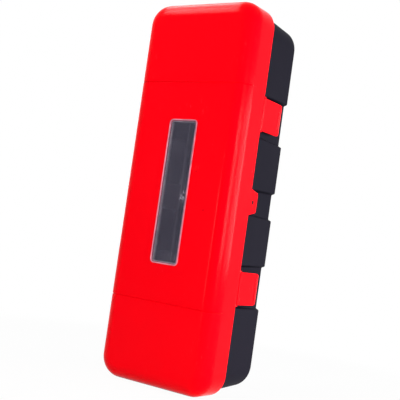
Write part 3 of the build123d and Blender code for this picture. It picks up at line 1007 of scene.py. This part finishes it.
@dataclass
class Tray(Assembly):
    """Black tray: a shell with recesses in both sides, bolt bosses, ribs and hinge knuckles."""

    front_y: float = -104.0
    half_width: float = 116.0
    half_height: float = 346.0
    side_draft: float = 1.7
    end_draft: float = 3.0
    corner_radius: float = 44.0
    wall: float = 3.0
    back_rounding: float = 2.8
    flange_edge: float = 0.5
    floor_x: float = 106.0
    recesses: tuple[Flat, ...] = ((-152.0, 38.0), (0.0, 23.0), (154.5, 38.0))
    recess_draft: float = 20.0
    recess_flare: float = 2.3
    outside_bends: Flat = (2.2, 2.6)
    inside_bends: Flat = (0.9, 5.0)
    bolt_x: float = 70.0
    bolt_z: float = 230.0
    boss_radius: float = 14.0
    boss_top_y: float = -7.0
    boss_foot: float = 0.8
    boss_edge: float = 0.5
    bolt_radius: float = 4.5
    bolt_edge: float = 0.4
    rib_half: float = 1.5
    back_rib_y: Flat = (-6.5, -2.5)
    back_rib_reach: Flat = (57.5, 217.5)
    foot_ribs_x: tuple[float, ...] = (-54.0, -18.0, 18.0, 54.0)
    foot_rib: tuple[Flat, ...] = ((-345.0, -101.5), (-339.8, -2.0), (-332.0, -2.0), (-332.0, -101.5))
    stop_centre: Flat = (0.0, -83.0)
    stop_radii: Flat = (83.0, 80.0)
    stop_sweep: Flat = (148.0, 32.0)
    stop_ends: Flat = (-338.5, -320.0)
    catch: tuple[Flat, ...] = ((105.0, -41.5), (110.0, -33.5), (110.0, -29.5), (105.0, -29.5))
    catch_half: float = 15.0
    loop_x: Flat = (105.0, 116.0)
    loop_y: Flat = (-94.5, -82.5)
    loop_hole_x: Flat = (109.0, 113.0)
    loop_hole_y: Flat = (-91.5, -85.5)
    loop_radii: Flat = (2.0, 0.8)
    loop_half: float = 2.0
    knuckle_root_x: float = -105.0
    knuckle_root_y: float = -93.5
    knuckle_half: float = 13.0
    knuckle_bore: float = 2.55
    knuckle_sweep: Flat = (90.0, 345.0)

    def build(self) -> None:
        """Make the shell, the ribs, the catches, the loop and the knuckles."""
        self.pieces = [self._make_shell(), self._make_back_ribs(), self._make_foot()]
        self.pieces += [self._make_catches(), self._make_loop(), self._make_knuckles()]

    def _row(self, y: float, inset: float = 0.0, floor_inset: float = 0.0, wall: float = 0.0) -> list[Point]:
        """Outline of the tray at one depth.

        Args:
            y: Depth, on which the drafted half width and height depend.
            inset: How far the four sides move inwards.
            floor_inset: How far the floors of the recesses move inwards.
            wall: Wall by which the recesses grow, for the inside of the shell.

        Returns:
            The points, anticlockwise from the lower right corner.
        """
        run = y - self.front_y
        half_x = self.half_width - run * tan(radians(self.side_draft)) - inset - wall
        half_z = self.half_height - run * tan(radians(self.end_draft)) - inset - wall
        radius = self.corner_radius - inset - wall
        floor = self.floor_x - floor_inset - wall
        slope = tan(radians(self.recess_draft))
        outer, inner = self.inside_bends if wall else self.outside_bends
        flare = run * tan(radians(self.recess_flare))
        side: list[Corner] = []
        for centre, at_front in self.recesses:
            opening = at_front + flare
            at_floor = opening + (floor - self.half_width) * slope + wall
            at_side = opening + (half_x - self.half_width) * slope + wall
            hollow = min(inner, 0.9 * (half_x - floor))
            side += [
                Corner(half_x, centre - at_side, outer, 5),
                Corner(floor, centre - at_floor, hollow, 5),
                Corner(floor, centre + at_floor, hollow, 5),
                Corner(half_x, centre + at_side, outer, 5),
            ]
        right = [Corner(half_x, -half_z, radius, 16), *side, Corner(half_x, half_z, radius, 16)]
        return from_front(rounded([*right, *mirrored(right)]), y)

    def _make_shell(self) -> bpy.types.Object:
        """Shell of the tray, with its flange, its bosses and its bolt holes."""
        skin = Skin()
        edge = self.flange_edge
        outside = [self._row(self.front_y, edge, edge), self._row(self.front_y + edge)]
        for turn in turns(0, 90, 7):
            inset = self.back_rounding * (1 - cos(turn))
            outside.append(self._row(-self.back_rounding * (1 - sin(turn)), inset, 0.25 * inset))
        outer = skin.loft(outside)
        inner_y = self.front_y + self.wall
        inside = [self._row(inner_y, wall=self.wall)]
        for turn in turns(0, 90, 4):
            inset = self.wall * (1 - cos(turn))
            inside.append(self._row(-self.wall * (2 - sin(turn)), inset, inset, self.wall))
        inner = skin.loft(inside)
        mouth = skin.loft(mouth_rows(self.front_y, inner_y))
        skin.plate(outer[0], mouth[0])
        skin.plate(inner[0], mouth[-1])
        places = ((-1, -1), (1, -1), (1, 1), (-1, 1))
        bosses = [self._add_boss(skin, (x * self.bolt_x, z * self.bolt_z)) for x, z in places]
        skin.plate(inner[-1], *(boss for boss, _ in bosses))
        skin.plate(outer[-1], *(hole for _, hole in bosses))
        return skin.make("tray_shell")

    def _add_boss(self, skin: Skin, place: Flat) -> tuple[list[int], list[int]]:
        """Add a boss and its bolt hole and return the rows at its foot and at the back."""
        boss, bolt, top = self.boss_radius, self.bolt_radius, self.boss_top_y
        foot, edge, rim = self.boss_foot, self.boss_edge, self.bolt_edge
        steps = [(boss + foot, -self.wall), (boss, -self.wall - foot), (boss, top + edge), (boss - edge, top)]
        steps += [(bolt + rim, top), (bolt, top + rim), (bolt, -rim), (bolt + rim, 0.0)]
        rows = skin.loft([from_front(circle(place, radius, 40), y) for radius, y in steps])
        return rows[0], rows[-1]

    def _make_back_ribs(self) -> bpy.types.Object:
        """Ribs on the inside of the back, from boss to boss."""
        skin = Skin()
        half, (across, up) = self.rib_half, self.back_rib_reach
        for x in (-self.bolt_x, self.bolt_x):
            skin.upright(0.0, up, self._rectangle((x - half, x + half), self.back_rib_y))
        for z in (-self.bolt_z, self.bolt_z):
            skin.upright(z, half, self._rectangle((-across, across), self.back_rib_y))
        return skin.make("back_ribs", bevel=0.5)

    def _rectangle(self, x: Flat, y: Flat) -> list[Flat]:
        """Outline that fills a range of X and one of Y."""
        return [(x[0], y[0]), (x[1], y[0]), (x[1], y[1]), (x[0], y[1])]

    def _make_foot(self) -> bpy.types.Object:
        """Foot ribs and the curved stop that the extinguisher stands against."""
        skin = Skin()
        for x in self.foot_ribs_x:
            skin.prism(from_side, (x - self.rib_half, x + self.rib_half), self.foot_rib)
        outer, inner = self.stop_radii
        far = arc(self.stop_centre, outer, *self.stop_sweep, 40)
        near = arc(self.stop_centre, inner, *reversed(self.stop_sweep), 40)
        skin.prism(from_above, self.stop_ends, far + near)
        return skin.make("foot_stop", bevel=0.5)

    def _make_catches(self) -> bpy.types.Object:
        """Wedge-shaped catches under the ends of the latches."""
        skin = Skin()
        for level in Level:
            skin.upright(LATCH_MIDDLES[level], self.catch_half, self.catch)
        return skin.make("latch_catches", bevel=0.6)

    def _make_loop(self) -> bpy.types.Object:
        """Loop behind the slot of the lug, for a tell-tale seal."""
        skin = Skin()
        outer, inner = self.loop_radii
        root, *free, end = self._rectangle(self.loop_x, self.loop_y)
        outline = rounded([Corner(*root), *(Corner(x, y, outer, 5) for x, y in free), Corner(*end)])
        places = self._rectangle(self.loop_hole_x, self.loop_hole_y)
        hole = rounded([Corner(x, y, inner, 3) for x, y in places])
        skin.upright(0.0, self.loop_half, outline, hole)
        return skin.make("seal_loop", bevel=0.5)

    def _make_knuckles(self) -> bpy.types.Object:
        """Knuckles in the recesses of the left side that carry the hinge pins."""
        skin = Skin()
        eye = arc(HINGE_AXIS, HINGE_EYE, *self.knuckle_sweep, 24)
        root_x = self.knuckle_root_x
        outline = [(root_x, HINGE_AXIS[1] + HINGE_EYE), *eye, (root_x, self.knuckle_root_y)]
        hole = circle(HINGE_AXIS, self.knuckle_bore, 24)
        for level in Level:
            skin.upright(RECESS_MIDDLES[level], self.knuckle_half, outline, hole)
        return skin.make("hinge_knuckles", bevel=0.7)


@dataclass
class Window(Assembly):
    """Clear pane with a bead round its edge and a wall that lines the opening."""

    frame: RoundFrame = RoundFrame(30.2, 131.0, 8.0, places=(-3.3, -2.5, 2.5, 3.3))
    front_y: float = -165.8
    back_y: float = -163.8
    notch: float = 3.0
    pane_inset: float = 2.3
    bead: tuple[Flat, ...] = (
        *((2.3, -163.8), (0.2, -163.8), (0.2, -165.8), (0.32, -166.22), (0.6, -166.4)),
        *((1.4, -166.4), (1.75, -166.25), (2.0, -165.9), (2.3, -165.8)),
    )
    well: tuple[Flat, ...] = (
        *((3.2, -163.8), (3.2, -157.1), (3.5, -156.8)),
        *((4.9, -156.8), (5.2, -157.1), (5.2, -163.8)),
    )

    def build(self) -> None:
        """Make the pane, the bead round it and the wall that lines the opening."""
        pane, bead, well = Skin(), Skin(), Skin()
        for y in (self.front_y, self.back_y):
            pane.plate(pane.row(self.frame.row(self.pane_inset, y)))
        bead.tube([self._bead_row(*step) for step in self.bead])
        well.tube([self.frame.row(*step) for step in self.well])
        self.pieces = [pane.make("window_pane"), bead.make("window_bead"), well.make("window_well")]
        for piece, finish in zip(self.pieces[1:], (BEAD_CLEAR, WALL_CLEAR)):
            piece.data.materials.append(finish.material())

    def _bead_row(self, inset: float, y: float) -> list[Point]:
        """Row of the bead, which is level with the pane at its two breaks."""
        row = []
        for x, here_y, z in self.frame.row(inset, y):
            is_break = abs(x) < self.notch and abs(z) > self.frame.half_height / 2
            row.append((x, max(here_y, self.front_y) if is_break else here_y, z))
        return row


@dataclass
class Latch(Assembly):
    """Red latch tab that swings on a pin behind the rim and clips over the tray."""

    level: Level = Level.UPPER
    half_height: float = 29.25
    barrel_radius: float = 4.5
    barrel_rounding: float = 0.9
    barrel_bevel: float = 0.26
    bore_radius: float = 1.55
    outside_x: float = 119.0
    thickness: float = 3.0
    end_y: float = -26.0
    bend_radius: float = 6.0
    bend_steps: int = 12
    lip_x: float = 111.0
    lip_steps: tuple[Flat, ...] = ((0.7, 0.0), (0.2, 0.25), (0.0, 0.65))
    corner_radius: float = 12.0
    edge_rounding: float = 0.7
    leaf_steps_y: tuple[float, ...] = (-91.3, -80.0, -60.0, -45.0, -38.0, -36.5, -35.0, -33.5, -32.6)
    ridge_y: float = -36.0
    ridge_steps: tuple[Flat, ...] = ((17.0, 1.0), (19.0, 0.85), (20.0, 0.5))
    ridge_height: float = 0.95
    ridge_half_width: float = 3.2

    def build(self) -> None:
        """Make the leaf, the barrel and the ridge as one piece."""
        skin, middle = Skin(), LATCH_MIDDLES[self.level]
        self._add_leaf(skin, middle)
        self._add_barrel(skin, middle)
        self._add_ridge(skin, middle)
        self.pieces = [skin.make(f"{self.body}_tab")]

    def _half_height_at(self, y: float) -> float:
        """Half the height of the leaf at a depth, less at its rounded corners."""
        into = y - (self.end_y - self.corner_radius)
        if into <= 0:
            return self.half_height
        radius = self.corner_radius
        return self.half_height - radius + sqrt(max(radius * radius - into * into, 0.0))

    def _leaf_path(self) -> list[tuple[Flat, Flat]]:
        """Places along the outer surface of the leaf, each with its outward direction."""
        path = [((self.outside_x, y), (1.0, 0.0)) for y in self.leaf_steps_y]
        bend = (self.outside_x - self.bend_radius, self.end_y - self.bend_radius)
        quarter = (0, 90, self.bend_steps)
        path += zip(arc(bend, self.bend_radius, *quarter), arc((0.0, 0.0), 1.0, *quarter))
        return path

    def _add_leaf(self, skin: Skin, middle: float) -> None:
        """Add the leaf: sections of a rounded slab along the path of its outer surface."""
        steps = [(*step, 0.0) for step in self._leaf_path()]
        for past, shrink in self.lip_steps:
            steps.append(((self.lip_x + past, self.end_y), (0.0, 1.0), shrink))
        rows = []
        for (x, y), (out_x, out_y), shrink in steps:
            half = self._half_height_at(y) - shrink
            rounding = self.edge_rounding - 0.5 * shrink
            inner = self.thickness - 0.5 * out_y - shrink
            edge = [Corner(-half, inner, rounding, 4), Corner(-half, shrink, rounding, 4)]
            section = rounded([*mirrored(edge), *edge])
            rows.append([(x - out_x * depth, y - out_y * depth, middle + up) for up, depth in section])
        skin.bar(rows)

    def _add_ridge(self, skin: Skin, middle: float) -> None:
        """Add the low upright ridge before the leaf's free end."""
        lower = [(-up, share) for up, share in reversed(self.ridge_steps)]
        rows = []
        for up, share in (*lower, *self.ridge_steps):
            rise, reach = share * self.ridge_height, share * self.ridge_half_width
            section = circle((0.0, 0.0), 1.0, 24)
            outline = [(self.outside_x + rise * x, self.ridge_y + reach * y) for x, y in section]
            rows.append(from_above(outline, middle + up))
        skin.bar(rows)

    def _add_barrel(self, skin: Skin, middle: float) -> None:
        """Add the barrel with the bore of its pin."""
        half, radius = self.half_height, self.barrel_radius
        end, bevel = self.barrel_rounding, self.barrel_bevel
        profile = [(self.bore_radius, half), (radius - end, half)]
        profile += [(radius - bevel, half - bevel), (radius, half - end)]
        steps = profile + [(wide, -up) for wide, up in reversed(profile)]
        skin.tube([from_above(circle(LATCH_AXIS, wide, 40), middle + up) for wide, up in steps])


@dataclass
class Pins(Assembly):
    """Steel pins of the latches and of the lid hinge."""

    latch_pin_half: float = 31.65
    hinge_pin_half: float = 27.4
    end_steps: tuple[Flat, ...] = ((1.0, 0.45), (0.8, 0.12), (0.35, 0.0))

    def build(self) -> None:
        """Make one pin for each latch and each hinge."""
        for level in Level:
            latch = (LATCH_AXIS, LATCH_MIDDLES[level], LATCH_PIN, self.latch_pin_half)
            hinge = (HINGE_AXIS, RECESS_MIDDLES[level], HINGE_PIN, self.hinge_pin_half)
            for kind, place in (("latch", latch), ("hinge", hinge)):
                self.pieces.append(self._make_pin(f"{kind}_pin_{level.name.lower()}_wire", *place))

    def _make_pin(self, name: str, axis: Flat, middle: float, radius: float, half: float) -> bpy.types.Object:
        """Pin with rounded ends.

        Args:
            name: Name of the piece.
            axis: X and Y of its axis.
            middle: Height of its middle.
            radius: Its radius.
            half: Half of its length.

        Returns:
            The new object.
        """
        skin = Skin()
        upper = [(radius * wide, half - radius * short) for wide, short in self.end_steps]
        steps = [(wide, -up) for wide, up in reversed(upper)] + upper
        skin.bar([from_above(circle(axis, wide, 24), middle + up) for wide, up in steps])
        return skin.make(name)


@dataclass
class Seal(Assembly):
    """Foam strip on the lid's ledge that lies on the tray's rim."""

    ring: RoundFrame = RoundFrame(106.6, 336.6, 34.6, steps=16)
    width: float = 4.0
    front_y: float = -107.0
    dome: tuple[Flat, ...] = ((0.0, 0.0), (0.0, 1.7), (0.25, 2.3), (0.9, 2.65), (2.0, 2.7))

    def build(self) -> None:
        """Make the strip with a domed outer face."""
        skin = Skin()
        falling = [(self.width - inset, rise) for inset, rise in reversed(self.dome[:-1])]
        skin.tube([self.ring.row(inset, self.front_y + rise) for inset, rise in (*self.dome, *falling)])
        self.pieces = [skin.make("seal_strip")]


# Studio


@dataclass(frozen=True)
class Lamp:
    """Soft rectangular lamp: its place, what it points at, its size, its light and its level side."""

    name: str
    place: Point
    target: Point
    size: Flat
    glow: float
    level: Point = (0.0, 1.0, 0.0)

    def build(self) -> None:
        """Make the lamp; its glow is how bright its face looks, where 1 is white."""
        light = bpy.data.lights.new(self.name, "AREA")
        light.shape = "RECTANGLE"
        light.size, light.size_y = self.size
        light.energy = self.glow * pi * self.size[0] * self.size[1]
        lamp = bpy.data.objects.new(self.name, light)
        back = (Vector(self.place) - Vector(self.target)).normalized()
        across = (Vector(self.level) - back * back.dot(self.level)).normalized()
        turn = Matrix((across, back.cross(across), back)).transposed().to_4x4()
        lamp.matrix_world = Matrix.Translation(self.place) @ turn
        bpy.context.scene.collection.objects.link(lamp)


@dataclass
class Studio:
    """Pale floor, soft lamps, plain world and the camera at the photograph's angle."""

    floor_z: float = -0.3505
    floor_rings: tuple[float, ...] = (0.5, 2.0, 30.0)
    sky: float = 0.06
    place: Point = (0.8631, -1.3352, -0.0822)
    yaw: float = 34.5
    pitch: float = 2.9
    roll: float = 8.15
    lens: float = 73.4
    sensor: float = 36.0
    lamps: tuple[Lamp, ...] = (
        Lamp("Key lamp", (-0.896, -0.992, 1.367), (0, -0.16, 0.335), (0.4, 0.95), 18.4, (1.0, 0.0, 0.0)),
        Lamp("Top lamp", (-0.84, -0.02, 1.565), (0, -0.16, 0.335), (0.42, 1.25), 6.5, (1.0, 0.0, 0.0)),
        Lamp("Side lamp", (1.566, -0.93, 0.14), (0.1, -0.15, 0.14), (0.72, 0.6), 20.0),
        Lamp("Rear side lamp", (1.634, 0.485, 0.16), (0.1, -0.15, 0.16), (1.8, 0.66), 12.0),
        Lamp("Strip lamp", (-0.64, -1.8, -0.09), (0.1, -0.15, -0.09), (0.09, 0.46), 27.0, (1.0, 0.0, 0.0)),
        Lamp("Rim lamp", (-1.5, 1.2, 0.35), (0, 0, 0.1), (0.9, 1.0), 1.5),
    )

    def build(self) -> None:
        """Set up everything round the cabinet."""
        self._build_floor()
        self._build_world()
        self._build_camera()
        for lamp in self.lamps:
            lamp.build()
        bpy.context.scene.view_settings.view_transform = "Standard"

    def _build_floor(self) -> None:
        """Make the floor, a large round sheet."""
        skin = Skin()
        rings = [circle((0.0, 0.0), reach / MM, 64) for reach in self.floor_rings]
        rows = skin.loft([from_above(ring, self.floor_z / MM) for ring in rings])
        skin.plate(rows[0])
        floor = skin.make("floor")
        floor.data.materials.append(FLOOR_PALE.material())

    def _build_world(self) -> None:
        """Make the world: white to the eye and an even soft light on the object."""
        world = bpy.data.worlds.new("Plain studio")
        world.use_nodes = True
        bpy.context.scene.world = world
        recipe = Recipe(world.node_tree)
        strength = self.sky + (1 - self.sky) * background_rays(recipe)
        light = recipe.add("ShaderNodeBackground", inputs={"Color": WHITE, "Strength": strength})
        recipe.add("ShaderNodeOutputWorld", inputs={"Surface": light})

    def _build_camera(self) -> None:
        """Make the camera from its place, its turn and its lens."""
        yaw, pitch, roll = radians(self.yaw), radians(self.pitch), radians(self.roll)
        ahead = Vector((-sin(yaw) * cos(pitch), cos(yaw) * cos(pitch), sin(pitch)))
        level = Vector((cos(yaw), sin(yaw), 0))
        above = level.cross(ahead)
        right = level * cos(roll) + above * sin(roll)
        up = above * cos(roll) - level * sin(roll)
        data = bpy.data.cameras.new("Camera")
        data.sensor_width = self.sensor
        data.lens = self.lens
        camera = bpy.data.objects.new("Camera", data)
        turn = Matrix((right, up, -ahead)).transposed().to_4x4()
        camera.matrix_world = Matrix.Translation(self.place) @ turn
        bpy.context.scene.collection.objects.link(camera)
        bpy.context.scene.camera = camera


def main() -> None:
    """Build and dress every sub-assembly, then the studio."""
    logging.basicConfig(level=logging.INFO, format="%(name)s: %(message)s")
    assemblies: list[Assembly] = [
        Tray("tray", "tray_plastic", TRAY_BLACK, TRAY_NODES),
        Lid("lid", "lid_plastic", LID_RED, ("lid",)),
        Window("lid", "window_clear", PANE_CLEAR, ("window",)),
        Latch("latch_upper", "lid_plastic", LID_RED, ("latch_upper",), Level.UPPER),
        Latch("latch_lower", "lid_plastic", LID_RED, ("latch_lower",), Level.LOWER),
        Pins("lid", "pin_steel", PIN_STEEL, PIN_NODES),
        Seal("lid", "seal_rubber", SEAL_FOAM, ("lid_seal",)),
    ]
    for assembly in assemblies:
        assembly.build()
        assembly.dress()
    Studio().build()


if __name__ == "__main__":
    main()
